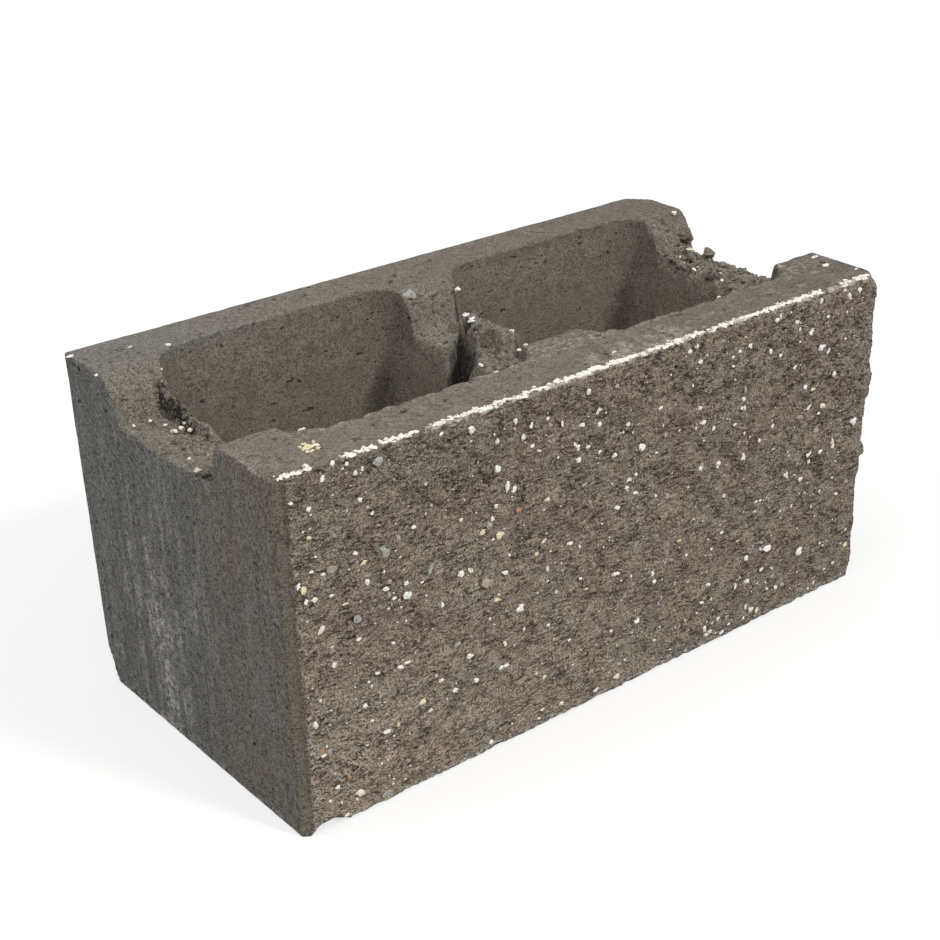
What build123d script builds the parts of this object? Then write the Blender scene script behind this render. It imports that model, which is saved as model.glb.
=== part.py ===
from build123d import *
from math import cos, exp, pi, sin, sqrt
import os

# Split face concrete block, 8 x 8 x 16 inch nominal: one dry-cast piece with two
# cores, webs that dip for a bar, and one face split off as rough rock.
# Frame: X along the length, the split face looks towards -Y, Z up.
# The origin is the middle of the bottom bed. Millimetres and degrees.

# Outside of the block. The width runs to the mould line of the split face.
length = 396.9
width = 193.7
height = 193.7

# Shells and webs in the plane of the top bed, where they are thinnest
front_shell = 34.0
back_shell = 27.0
end_web = 30.0
centre_web = 34.0
core_radius = 22.0
core_draft = 1.0

# Dip over the webs, in section: a rounded lip, a leaning back wall, a flat floor
dip_depth = 24.0
dip_back = 50.0
dip_front = 47.5
dip_lip_run = 8.5
dip_lip_drop = 8.0
dip_lip_radius = 9.0
dip_back_lean = 3.5
dip_heel_radius = 7.0
dip_front_lean = 5.0
dip_toe_radius = 4.0

# Stump of concrete left standing in the dip, on the right side of the centre web
stump_height = 9.0
stump_length = 46.0
stump_width = 15.0
stump_from_middle = 16.0
stump_draft = 28.0

# Crust left standing along the core side of the left web
crust_height = 8.0
crust_length = 50.0
crust_width = 6.5
crust_from_middle = 25.0
crust_draft = 22.0

# Bite broken out of the side of the centre web
bite_depth = 15.0
bite_length = 27.0
bite_height = 18.0
bite_from_middle = 7.0
bite_draft = 24.0

# Split face: how far the rock stands out, and the pitch of its rolls, lumps and knobs
rock_crown = 1.6
rock_roll = 1.3
rock_lump = 0.9
rock_knob = 0.8
rock_roll_pitch = 121.0
rock_lump_pitch = 47.0
rock_knob_pitch = 23.0
rock_margin = 12.0
rock_facet = 7.6

# Smooth bevel at one end of the split face, where the splitting groove was cast
groove_along = 5.6
groove_back = 3.4

# Shell-shaped flake broken off the bottom front edge near the groove
flake_length = 25.0
flake_depth = 4.5
flake_from_end = 15.0

# Broken corners: behind the left end at the bottom, behind the right end at the top
low_chip_up = 22.0
low_chip_back = 9.0
low_chip_along = 14.0
top_chip_along = 12.0
top_chip_back = 13.0
top_chip_down = 27.0
edge_wear = 1.2

# How far a cutter runs past the face that it cuts
clear = 5.0

half_length = length / 2
front = -width / 2
back = width / 2
core_length = (length - 2 * end_web - centre_web) / 2
core_width = width - front_shell - back_shell
core_x = (centre_web + core_length) / 2
core_y = (front_shell - back_shell) / 2
dip_floor = height - dip_depth


def rock(x, z):
    """How far the rock stands out at a place on the split face.

    A crown, long rolls, short slanting lumps and small knobs, which all die away evenly
    at the two beds.
    """
    roll = cos(2 * pi * x / rock_roll_pitch + 1.4 * sin(2 * pi * z / rock_roll_pitch + 0.6))
    lump = sin(2 * pi * (x + 0.4 * z) / rock_lump_pitch) * cos(2 * pi * (z - 0.3 * x) / rock_lump_pitch)
    knob = sin(2 * pi * (x + 5 * roll) / rock_knob_pitch)
    knob = knob * sin(2 * pi * (z + 0.35 * x + 4 * lump) / rock_knob_pitch)
    from_bed = z * (height - z) / height
    stands = rock_crown + rock_roll * roll + rock_lump * lump + rock_knob * knob
    return stands * (1 - exp(-from_bed / rock_margin))


def split_block():
    """The block as the splitter leaves it: plain mould faces round one broken face.

    The broken face is a grid of triangular facets. Its first column is the groove's
    smooth bevel, and its rim is shared with the two beds and the two ends.
    """
    across = round((length - groove_along) / rock_facet)
    up = round(height / rock_facet)
    heights = [j * height / up for j in range(up + 1)]
    grid = [[Vector(-half_length, front + groove_back, z) for z in heights]]
    for i in range(across + 1):
        x = groove_along - half_length + i * (length - groove_along) / across
        grid.append([Vector(x, front - rock(x, z), z) for z in heights])
    faces = []
    for left, right in zip(grid, grid[1:]):
        for j in range(up):
            faces.append(Face(Wire.make_polygon([left[j], right[j], right[j + 1]])))
            faces.append(Face(Wire.make_polygon([left[j], right[j + 1], left[j + 1]])))
    rear = [Vector(x, back, z) for x in (-half_length, half_length) for z in (0, height)]
    faces.append(Face(Wire.make_polygon([rear[0], rear[1], rear[3], rear[2]])))
    faces.append(Face(Wire.make_polygon([column[0] for column in grid] + [rear[2], rear[0]])))
    faces.append(Face(Wire.make_polygon([column[-1] for column in grid] + [rear[3], rear[1]])))
    faces.append(Face(Wire.make_polygon(grid[0] + [rear[1], rear[0]])))
    faces.append(Face(Wire.make_polygon(grid[-1] + [rear[3], rear[2]])))
    block = Solid(Shell(faces))
    rear_edges = [e for e in block.edges().filter_by(Axis.Z) if abs(e.center().Y - back) < edge_wear]
    return chamfer(rear_edges, edge_wear)


def core(side):
    """One core: a rounded rectangle at the top bed that narrows evenly on its way down."""
    mouth = RectangleRounded(core_length, core_width, core_radius)
    down = extrude(mouth, amount=-height - clear, taper=core_draft)
    return Pos(side * core_x, core_y, height) * (down + extrude(mouth, amount=clear))


def dip():
    """What the dip takes off all three webs, as one section carried along X.

    The section goes down a rounded lip and back wall, across the floor and up a steep
    front wall.
    """
    lip = (dip_back + dip_lip_run, height)
    shoulder = (dip_back, height - dip_lip_drop)
    heel = (dip_back - dip_back_lean, dip_floor)
    toe = (dip_front_lean - dip_front, dip_floor)
    front_top = (-dip_front, height)
    over = [(-dip_front, height + clear), (dip_back + dip_lip_run, height + clear)]
    section = make_face(Polyline(lip, shoulder, heel, toe, front_top, *over, close=True))
    for corner, radius in ((shoulder, dip_lip_radius), (heel, dip_heel_radius), (toe, dip_toe_radius)):
        section = fillet(section.vertices().sort_by_distance((*corner, 0))[0], radius)
    return extrude(Plane.YZ * section, amount=half_length + clear, both=True)


def mound(web_side, from_middle, width, length, rise, draft):
    """What was left standing in the dip beside a core: a patch on the floor with leaning sides.

    The patch is twice as wide as what stays, because the core takes off its other half.
    """
    patch = RectangleRounded(2 * width, length, width / 2)
    return Pos(web_side, from_middle, dip_floor) * extrude(patch, amount=rise, taper=draft)


def flake():
    """What the flake takes off: a ball that cuts the edge to the flake's length and depth."""
    radius = (flake_length**2 / 4 + flake_depth**2) / (2 * flake_depth)
    outside = (radius - flake_depth) / sqrt(2)
    return Pos(flake_from_end - half_length, front - outside, -outside) * Sphere(radius)


def bite():
    """The broken notch in the left side of the centre web, narrower towards its foot."""
    side = -centre_web / 2
    outline = Polyline(
        (side - clear, bite_from_middle - bite_length / 2 - clear),
        (side + bite_depth, bite_from_middle - bite_length / 5),
        (side + bite_depth * 0.7, bite_from_middle + bite_length / 4),
        (side - clear, bite_from_middle + bite_length / 2 + clear),
        close=True,
    )
    notch = extrude(make_face(outline), amount=-bite_height, taper=bite_draft)
    return Pos(0, 0, dip_floor) * (notch + extrude(make_face(outline), amount=clear))


def break_corner(block, corner, along, back_leg, up):
    """Take a corner off by the plane through three points, one on each edge there."""
    on_x = corner + Vector(along, 0, 0)
    on_y = corner + Vector(0, back_leg, 0)
    on_z = corner + Vector(0, 0, up)
    normal = (on_y - on_x).cross(on_z - on_x)
    inward = normal if normal.dot(Vector(0, core_y, height / 2) - on_x) > 0 else -normal
    return split(block, bisect_by=Plane(origin=on_x, z_dir=inward), keep=Keep.TOP)


def block():
    """The finished block, in the order in which it is cast, split and knocked about."""
    stump = mound(centre_web / 2, stump_from_middle, stump_width, stump_length, stump_height, stump_draft)
    left_web_side = end_web - half_length
    crust = mound(left_web_side, crust_from_middle, crust_width, crust_length, crust_height, crust_draft)
    piece = split_block() - dip() + stump + crust
    piece = piece - [core(-1), core(1), bite(), flake()]
    low_corner = Vector(-half_length, back, 0)
    piece = break_corner(piece, low_corner, low_chip_along, -low_chip_back, low_chip_up)
    top_corner = Vector(half_length, back, height)
    return break_corner(piece, top_corner, -top_chip_along, -top_chip_back, -top_chip_down)


piece = block()
os.makedirs("parts", exist_ok=True)
export_step(piece, "parts/split_face_block.step")
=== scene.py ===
import math
import bmesh
import bpy
import numpy as np
from mathutils import Matrix, Vector


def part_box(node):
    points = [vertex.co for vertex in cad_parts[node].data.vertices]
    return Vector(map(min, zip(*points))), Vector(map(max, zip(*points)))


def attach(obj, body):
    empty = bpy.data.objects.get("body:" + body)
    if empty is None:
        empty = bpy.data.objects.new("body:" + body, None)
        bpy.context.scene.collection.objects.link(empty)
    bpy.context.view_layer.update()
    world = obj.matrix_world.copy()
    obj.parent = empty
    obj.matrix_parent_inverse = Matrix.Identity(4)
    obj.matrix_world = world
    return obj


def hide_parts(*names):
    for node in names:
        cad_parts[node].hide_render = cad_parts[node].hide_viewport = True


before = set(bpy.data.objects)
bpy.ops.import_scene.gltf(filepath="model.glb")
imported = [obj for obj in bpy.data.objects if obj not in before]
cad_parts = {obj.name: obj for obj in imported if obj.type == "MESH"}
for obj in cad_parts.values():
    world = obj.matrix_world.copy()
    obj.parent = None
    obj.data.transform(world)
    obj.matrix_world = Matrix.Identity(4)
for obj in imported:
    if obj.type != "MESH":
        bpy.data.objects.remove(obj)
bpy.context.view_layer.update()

# The view. The camera stands in front of the block's left end, above it, and looks down on its top.
# The optical centre lies low and to the right of the picture's middle, so the camera is shifted.
picture_side = 940
optical_centre = (520, 580)
focal_pixels = 1708.1
camera_place = np.array([-536.1, -667.5, 519.2])
camera_turn = math.radians(-39.706)
camera_rise = math.radians(29.798)
camera_roll = math.radians(-0.560)
sensor = 36.0


def camera_axes(turn, rise, roll):
    """The camera's right, up and back directions: back points away from the target, right lies level,
    and both side directions turn about back by the roll."""
    back = np.array([math.sin(turn) * math.cos(rise), -math.cos(turn) * math.cos(rise), math.sin(rise)])
    level = np.cross([0.0, 0.0, 1.0], back)
    level /= np.linalg.norm(level)
    upright = np.cross(back, level)
    right = math.cos(roll) * level + math.sin(roll) * upright
    up = math.cos(roll) * upright - math.sin(roll) * level
    return np.stack([right, up, back])


axes = camera_axes(camera_turn, camera_rise, camera_roll)


def sight(columns, rows, axis, level):
    """Where the sight lines of picture points reach a level on one axis, in millimetres, and how far
    that is from the camera along its view."""
    across = (np.asarray(columns) - optical_centre[0]) / focal_pixels
    down = (np.asarray(rows) - optical_centre[1]) / focal_pixels
    lines = across[..., None] * axes[0] - down[..., None] * axes[1] - axes[2]
    reach = (level - camera_place[axis]) / lines[..., axis]
    return camera_place + reach[..., None] * lines, reach


def span(points, reach, axis):
    """How long something along an axis is that covers so many picture points at that distance."""
    return points * reach / focal_pixels / np.linalg.norm(axes[:2] @ axis)


lens = bpy.data.cameras.new("photograph_view")
lens.sensor_width = sensor
lens.lens = sensor * focal_pixels / picture_side
lens.shift_x = (picture_side / 2 - optical_centre[0]) / picture_side
lens.shift_y = (optical_centre[1] - picture_side / 2) / picture_side
lens.clip_start = 0.01
camera = bpy.data.objects.new("photograph_view", lens)
placed = np.eye(4)
placed[:3, :3] = axes.T
placed[:3, 3] = camera_place / 1000
camera.matrix_world = Matrix(placed)
bpy.context.scene.collection.objects.link(camera)
bpy.context.scene.camera = camera

# The block. One piece of dense sand and gravel concrete, pressed in a steel mould, cured and then
# broken off its twin, which leaves the long front face rough. Two tapered cores run through it, and
# its three webs are knocked down on top to leave a channel for a steel bar.
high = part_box("split_face_block")[1]
half_length = high.x * 1000
height = high.z * 1000
back = high.y * 1000
front = -back
front_shell = 34.0
back_shell = 27.0
end_web = 30.0
centre_web = 34.0
core_radius = 22.0
core_draft = math.tan(math.radians(1.0))
core_left = centre_web / 2
core_right = half_length - end_web
core_front = front + front_shell
core_back = back - back_shell
groove_along = 5.6
groove_back = 3.4
corner_radius = 1.3
arris_radius = 1.1


def hashed(cells, seed):
    """A random number from 0 to 1 for each whole-number cell, by multiplying and folding its bits."""
    mixed = cells[..., 0] * 374761393 + cells[..., 1] * 668265263 + cells[..., 2] * 1274126177
    mixed = (mixed + seed * 362437) & 0xFFFFFFFF
    mixed = ((mixed ^ (mixed >> 15)) * 2246822519) & 0xFFFFFFFF
    mixed = ((mixed ^ (mixed >> 13)) * 3266489917) & 0xFFFFFFFF
    return (mixed ^ (mixed >> 16)) / 0xFFFFFFFF


def swell(x, y, z, size, seed):
    """Smooth noise of about -1 to 1: each corner of a cubic lattice has a random slope, and the slopes
    are blended with the weights 6t^5 - 15t^4 + 10t^3."""
    size = np.broadcast_to(size, (3,))
    place = np.stack(np.broadcast_arrays(x / size[0], y / size[1], z / size[2]), -1)
    cell = np.floor(place).astype(np.int64)
    part = place - cell
    ease = part ** 3 * (part * (part * 6 - 15) + 10)
    total = 0
    for corner in np.ndindex(2, 2, 2):
        chance = hashed(cell + corner, seed)
        turn = 2 * np.pi * chance
        lift = 2 * np.modf(chance * 57.31)[0] - 1
        flat = np.sqrt(1 - lift ** 2)
        away = part - corner
        slope = flat * (away[..., 0] * np.cos(turn) + away[..., 1] * np.sin(turn)) + away[..., 2] * lift
        total = total + np.where(corner, ease, 1 - ease).prod(-1) * slope
    return 1.7 * total


def shards(x, y, z, size, seed):
    """Broken facets: every point belongs to the nearest random seed point of a cubic lattice, and takes
    that seed's own height and tilt. Gives the height, and the gap to the second nearest seed."""
    place = np.stack(np.broadcast_arrays(x, y, z), -1) / size
    cell = np.floor(place).astype(np.int64)
    nearest = np.full(place.shape[:-1], 9.0)
    second = np.full(place.shape[:-1], 9.0)
    height_here = np.zeros(place.shape[:-1])
    for step in np.ndindex(3, 3, 3):
        near = cell + np.array(step) - 1
        chances = np.stack([hashed(near, seed + k) for k in range(3)], -1)
        offset = place - near - chances
        distance = np.linalg.norm(offset, axis=-1)
        tilt = ((chances - 0.5) * offset).sum(-1)
        closer = distance < nearest
        second = np.where(closer, nearest, np.minimum(second, distance))
        height_here = np.where(closer, chances[..., 0] - 0.5 + 1.6 * tilt, height_here)
        nearest = np.where(closer, distance, nearest)
    return height_here, second - nearest


def smooth(value, start, stop):
    """0 before start, 1 after stop, and 3t^2 - 2t^3 between them."""
    part = np.clip((value - start) / (stop - start), 0, 1)
    return part * part * (3 - 2 * part)


def band(value, start, full, fade, stop):
    """1 from full to fade, 0 before start and after stop, with a smooth rise and fall."""
    return smooth(value, start, full) * (1 - smooth(value, fade, stop))


rock_crown = 1.6
rock_roll = 1.3
rock_lump = 0.9
rock_knob = 0.8
rock_roll_pitch = 121.0
rock_lump_pitch = 47.0
rock_knob_pitch = 23.0
rock_margin = 12.0
deepest_pit = -3.4
highest_grain = 1.6
# Lumps down the right edge: the height of each, how far it reaches and how far it stands out
right_knobs = ((182, 9, 0.8), (128, 8, 3.0), (86.5, 4, 3.6), (20, 34, -1.2))


def broken_face(x, z):
    """How far the broken face stands out in front of the mould line, as wide swells that fade towards the
    beds, and what its lumps, tilted shards, sand grains and short crevices add to that."""
    turn = 2 * np.pi / rock_roll_pitch
    ripple = 2 * np.pi / rock_lump_pitch
    wave = 2 * np.pi / rock_knob_pitch
    roll = np.cos(turn * x + 1.4 * np.sin(turn * z + 0.6))
    lump = np.sin(ripple * (x + 0.4 * z)) * np.cos(ripple * (z - 0.3 * x))
    knob = np.sin(wave * (x + 5 * roll)) * np.sin(wave * (z + 0.35 * x + 4 * lump))
    from_bed = z * (height - z) / height
    fade = 1 - np.exp(-np.clip(from_bed, 0, None) / rock_margin)
    wide = (rock_crown + rock_roll * roll + rock_lump * lump + rock_knob * knob) * fade
    harsh = 0.55 + 0.40 * smooth(0.5 * x / half_length + z / height, 0.1, 1.1)
    facet, seam = shards(x, 0, z, 6.5, 11)
    chip = shards(x, 0, z, 3.2, 31)[0]
    grain = 0.45 * swell(x, 0, z, 2.7, 5) + 0.35 * swell(x, 0, z, 1.6, 7)
    level = swell(x, 0, z + 0.05 * x, (9.0, 9.0, 2.7), 9)
    rising = swell(x, 0, z - 0.25 * x, (10.0, 9.0, 3.4), 13)
    where_level = smooth(swell(x, 0, z, 17.0, 15), 0.0, 0.35)
    where_rising = smooth(swell(x, 0, z, 21.0, 17), 0.08, 0.38)
    cracks = (1 - smooth(np.abs(level), 0.02, 0.20)) * where_level
    cracks = np.maximum(cracks, (1 - smooth(np.abs(rising), 0.02, 0.19)) * where_rising)
    ledges = 0.95 * facet + 0.7 * chip - 0.30 * (1 - smooth(seam, 0.0, 0.22))
    lumps = 0.35 * swell(x, 0, z, 15.0, 3)
    knobs = sum(rise * np.exp(-((z - middle) / reach) ** 4) for middle, reach, rise in right_knobs)
    lumps = lumps * fade + knobs * smooth(x, half_length - 16, half_length - 3)
    even = 1 - 0.55 * smooth(x, half_length - 12, half_length - 1)
    return wide + lumps, harsh * even * (ledges + grain - 1.5 * cracks)


# The dip's section, as places along y and how far the top lies below the bed there
dip_section = ([-47.5, -42.5, 44.6, 46.9, 48.6, 51.0, 58.5], [0, -24.0, -24.0, -20.5, -14.0, -8.2, 0])
# The bite, the fold's crack and the thin slot in front of it, in plan on the centre web
bite_outline = np.array([[-24.0, -18.0], [1.5, 15.0], [6.0, 35.0], [-24.0, 13.0]])
fold_crack = np.array([[16.4, 51.7], [5.3, 27.0]])
front_slot = np.array([[17.0, -3.0], [7.0, -15.0]])
bite_depth = 26.0
bite_steepness = 6.0
stump_side = 2.0
stump_front = -7.0
stump_back = 39.0
stump_height = 9.0
stump_lean = math.tan(math.radians(28.0))
crust_foot = -175.2
crust_crest = -171.2
# How high the crust stands in the left dip, as places along y and heights
crust_line = ([-6, 2, 9, 22, 28, 37, 46, 52], [0, 2.5, 6.2, 5.5, 8.5, 10.5, 10.0, 0])
# Heaps and one hollow on the right web: how high, where in plan, and how far along and across
right_heaps = ((5.0, (168, 1), (6, 4)), (-2.5, (168, 14), (5, 5)),
               (5.0, (168, 42), (10, 6)), (2.0, (183, 20), (9, 12)))


def inside_by(x, y, outline):
    """How far a point lies inside a convex outline whose corners run the left way round."""
    inside = np.full(np.shape(x), 1e3)
    for start, stop in zip(outline, np.roll(outline, -1, axis=0)):
        along = (stop - start) / np.linalg.norm(stop - start)
        inside = np.minimum(inside, along[0] * (y - start[1]) - along[1] * (x - start[0]))
    return inside


def hump(x, y, place, reach):
    """A rounded bump in plan, 1 at its place and e to the -1 at its reach on each axis."""
    return np.exp(-((x - place[0]) / reach[0]) ** 2 - ((y - place[1]) / reach[1]) ** 2)


def off_line(x, y, line):
    """How far a point in plan lies from a straight stretch between two points."""
    run = line[1] - line[0]
    part = np.clip(((x - line[0][0]) * run[0] + (y - line[0][1]) * run[1]) / (run @ run), 0, 1)
    return np.hypot(x - line[0][0] - part * run[0], y - line[0][1] - part * run[1])


def top(x, y):
    """The height of the upper surface, how crumbly it is and how much painted shade its hollows get. The
    webs drop along the dip's section in y, blurred. A stump, a crust and small heaps stand in the dip. A
    bite, a crack, a slot, voids, pits and lumps roughen what was knocked down, and their insides get the
    painted shade."""
    wander = 1.2 * swell(x, y, 0, 11.0, 41)
    dip = sum(np.interp(y + reach + wander, *dip_section) for reach in (-1.5, -0.75, 0, 0.75, 1.5)) / 5
    rough = smooth(-dip, 0.2, 3.0)
    facet, seam = shards(x, y, 0, 5.0, 43)
    chip = shards(x, y, 0, 2.7, 44)[0]
    lumps = 0.9 * swell(x, y, 0, 12.0, 45) + 0.9 * facet + 0.7 * chip + 0.4 * swell(x, y, 0, 2.4, 47)
    wild = smooth(x, 60, 160) + (1 - smooth(y, 18, 38)) * smooth(x, -188, -176)
    wild = 0.35 + 0.65 * np.clip(wild, 0, 1)
    pits = smooth(swell(x, y, 0, 3.8, 49), 0.45 - 0.22 * wild, 0.62)
    inside = np.minimum(x - stump_side, np.minimum(stump_back - y, y - stump_front))
    inside = inside + 1.5 * swell(x, y, 0, 6.0, 55)
    stump = np.clip(inside / stump_lean, 0, stump_height) * (np.abs(x) < 30)
    crust = smooth(x + wander, crust_foot, crust_crest) * (x < -100) * np.interp(y + wander, *crust_line)
    heaps = sum(rise * hump(x, y, place, reach) for rise, place, reach in right_heaps)
    bite = np.minimum(bite_depth, bite_steepness * np.clip(inside_by(x, y, bite_outline), 0, None))
    crack = 1 - smooth(off_line(x, y, fold_crack), 0.6, 2.0)
    comb = smooth(x, crust_foot - 1, crust_foot + 1) * band(y, 13, 18, 47, 53) * (x < -160)
    voids = comb * (1 - smooth(shards(x, y, 0, 3.0, 57)[1], 0.06, 0.34))
    nick = hump(x, y, (-half_length, -83), (3.0, 8.0))
    nick = nick + 2.6 * (1 - smooth(off_line(x, y, front_slot), 0.8, 2.8))
    nick = nick + 1.6 * hump(x, y, (0, -10), (4.0, 6.0)) * smooth(swell(x, y, 0, 3.0, 59), -0.1, 0.3)
    calm = 0.16 * swell(x, y, 0, 15.0, 51) + 0.14 * swell(x, y, 0, 2.6, 53)
    fallen = rough * wild * (lumps - 1.3 * pits) + stump + crust + heaps * rough - bite - 5.0 * crack
    level = height + dip + fallen - 1.8 * voids - 2.2 * nick + calm - 0.2
    # Painted shade: the third value darkens the pits, the seams between shards, the crack, the voids, the
    # nicks and slot, and the bite, for the shade inside them
    seams = wild * (1 - smooth(seam, 0.0, 0.16))
    hollow = rough * (1.1 * pits + 0.7 * seams) + 2.4 * crack + 1.4 * voids + 0.3 * comb + nick
    return level, rough * (0.3 + 0.7 * wild), hollow + 1.6 * smooth(bite, 1.0, 5)


front_step = 1.2
web_step = 1.6
web_fine = 0.85
back_step = 3.0
samples = 4000
# Where the top changes fast along y, and how far round each the outline has its finer step
rises = [-45.0, -17.0, 0.0, 12.0, 26.0, 38.0, 49.0]
rise_reach = 8


def graded(start, stop):
    """Places from start to stop, a fine step apart within reach of the rises, else a coarse one."""
    ground = np.linspace(start, stop, samples)
    near = np.min(np.abs(ground[:, None] - np.array(rises)[None]), axis=1)
    steps = np.where(near < rise_reach, web_fine, web_step)
    walked = np.concatenate([[0], np.cumsum(abs(stop - start) / (samples - 1) / steps[1:])])
    count = int(math.ceil(walked[-1])) + 1
    return np.interp(np.linspace(0, walked[-1], count), walked, ground)


def outline(side):
    """Plan points round one half of the block, from the front's middle out along the front, back along
    the end, in along the back and forward through the centre web, and how much each one is broken face."""
    at_front = np.arange(0, half_length - max(groove_along, corner_radius), front_step)
    points = [np.stack([at_front, np.full_like(at_front, front)], -1)]
    broken = [np.ones(len(at_front))]
    if side < 0:
        part = np.linspace(0, 1, 7)[:, None]
        band = np.array([[half_length - groove_along, front], [half_length, front + groove_back]])
        bulge = 0.35 * np.sin(np.pi * part) * np.array([[0.52, -0.85]])
        points.append(band[0] + part * (band[1] - band[0]) + bulge)
        broken.append(np.clip(1 - 3.5 * part[:, 0], 0, 1))
    else:
        angle = np.radians(np.linspace(-90, 0, 5))
        centre = np.array([half_length - corner_radius, front + corner_radius])
        points.append(centre + corner_radius * np.stack([np.cos(angle), np.sin(angle)], -1))
        broken.append(np.array([1.0, 0.95, 0.8, 0.5, 0.25]))
    at_end = graded(front + 5, back - corner_radius - 1)
    points.append(np.stack([np.full_like(at_end, half_length), at_end], -1))
    angle = np.radians(np.linspace(0, 90, 5))
    centre = np.array([half_length - corner_radius, back - corner_radius])
    points.append(centre + corner_radius * np.stack([np.cos(angle), np.sin(angle)], -1))
    at_back = np.arange(half_length - corner_radius - 2, 0, -back_step)
    points.append(np.stack([at_back, np.full_like(at_back, back)], -1))
    at_centre = graded(back, front + front_step)
    points.append(np.stack([np.zeros_like(at_centre), at_centre], -1))
    plan = np.concatenate(points)
    shown = np.concatenate(broken)
    weight = np.concatenate([shown, np.zeros(len(plan) - len(shown))])
    plan[:, 0] *= side
    middle = np.concatenate([np.zeros(len(plan) - len(at_centre) + 1), np.ones(len(at_centre) - 1)])
    return plan, weight, middle


def rim_wear(x, y):
    """How wide the inner arris of a core has crumbled away: most along the right web, less at the centre
    web and the front shell, and unevenly everywhere."""
    right_edge = smooth(x, 150, 160) * band(y, -22, -8, 42, 60)
    centre_edge = (1 - smooth(np.abs(x), 25, 40)) * band(y, -40, -30, 40, 50)
    front_edge = 1 - smooth(y, -58, -50)
    uneven = 0.7 + 1.3 * np.clip(swell(x, y, 0, 8.0, 61), -0.5, 1)
    return 1.2 + uneven * (5.0 * right_edge + 2.4 * centre_edge + 3.0 * front_edge + 0.5)


wall_rows = 160
top_rows = 26
core_rows = 46
foot_rows = 6
foot_inset = 1.0


def half_block(side):
    """One half of the block as a grid of points: every column is a loop round the section from an outline
    point in to the core, and every row is one station on that loop. Gives points, masks and quads."""
    plan, weight, middle = outline(side)
    seat = np.stack([np.clip(np.abs(plan[:, 0]), core_left + core_radius, core_right - core_radius) * side,
                     np.clip(plan[:, 1], core_front + core_radius, core_back - core_radius)], -1)
    inward = seat - plan
    reach = np.linalg.norm(inward, axis=1)
    inward /= reach[:, None]
    width = reach - core_radius
    edge = np.where(middle > 0, 0, arris_radius + 0.45 * swell(plan[:, 0], plan[:, 1], 0, 7.0, 63))
    rim_place = plan + inward * width[:, None]
    rim = rim_wear(rim_place[:, 0], rim_place[:, 1])

    def upper(across):
        place = plan + inward * across[:, None]
        return top(place[:, 0], place[:, 1])

    # edge_hollow and rim_hollow carry the top's painted shade of hollows over the rounded arrises
    edge_top, _, edge_hollow = upper(edge)
    rim_top, _, rim_hollow = upper(width - rim)
    across, up, crumb, face, hollows = [], [], [], [], []

    def row(distance, level, crumbly, broken, hollow=0.0):
        across.append(distance)
        up.append(level)
        crumb.append(np.broadcast_to(crumbly, distance.shape))
        face.append(np.broadcast_to(broken, distance.shape))
        hollows.append(np.broadcast_to(hollow, distance.shape))

    for angle in np.radians([0, 30, 60]):
        row(edge * (1 - np.sin(angle)), edge * (1 - np.cos(angle)), 0.0, np.sin(angle) ** 2)
    for part in np.linspace(0, 1, wall_rows):
        row(0 * edge, edge + part * (edge_top - 2 * edge), 0.0, 1.0)
    for angle in np.radians([70, 50, 30, 12]):
        down = edge_top - edge * (1 - np.cos(angle))
        row(edge * (1 - np.sin(angle)), down, 0.0, np.sin(angle) ** 2, edge_hollow)
    for part in np.linspace(0, 1, top_rows):
        distance = edge + part * (width - edge - rim)
        level, rough, hollow = upper(distance)
        row(distance, level, rough, 0.0, hollow)
    for angle in np.radians([10, 22, 34, 46, 58, 70, 82]):
        down = rim_top - rim * (1 - np.cos(angle))
        row(width - rim * (1 - np.sin(angle)), down, smooth(rim, 2, 4), 0.0, 0.5 * rim_hollow)
    for part in np.linspace(1, 0, core_rows):
        level = foot_inset + part * (rim_top - rim - foot_inset)
        crumbly = smooth(rim, 2.5, 5) * smooth(part, 0.9, 1.0)
        row(width + (height - level) * core_draft, level, crumbly, 0.0)
    foot = width + height * core_draft
    for part in np.linspace(1, 0, foot_rows):
        row(edge + part * (foot - foot_inset - edge), 0 * edge, 0.0, 0.0)
    across, up, crumb, face, hollows = (np.stack(rows) for rows in (across, up, crumb, face, hollows))
    x = plan[:, 0] + inward[:, 0] * across
    y = plan[:, 1] + inward[:, 1] * across
    rows, columns = x.shape
    index = np.arange(rows * columns).reshape(rows, columns)
    here, above = index, np.roll(index, -1, axis=0)
    quads = np.stack([here, np.roll(here, -1, axis=1), np.roll(above, -1, axis=1), above], -1)
    hidden = np.zeros((rows, columns), bool)
    hidden[2:2 + wall_rows] = np.maximum(middle, np.roll(middle, -1)) > 0
    return x, y, up, crumb, face * weight, hollows, quads[~hidden]


def cut_off(points, through, facing, rough):
    """Points beyond a plane are pushed back onto it along its normal, give or take a little noise."""
    normal = np.array(facing, float)
    normal /= np.linalg.norm(normal)
    beyond = (points - np.array(through)) @ normal
    gone = np.clip(beyond + rough * swell(*points.T, 3.5, 71) + rough * swell(*points.T, 9.0, 73), 0, None)
    touched = beyond > -rough
    return points - normal * (gone * touched)[:, None], gone * touched


# Corners broken off behind the left end's foot and the right end's top: how far along, across and upright,
# and how far the one at the top of the right end's front runs each way
low_chip = (14.0, 9.0, 22.0)
top_chip = (12.0, 13.0, 27.0)
corner_break = 7.0
flake_length = 25.0
flake_depth = 4.5
flake_from_end = 15.0
flake_radius = (flake_length ** 2 / 4 + flake_depth ** 2) / (2 * flake_depth)
flake_outside = (flake_radius - flake_depth) / math.sqrt(2)


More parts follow.
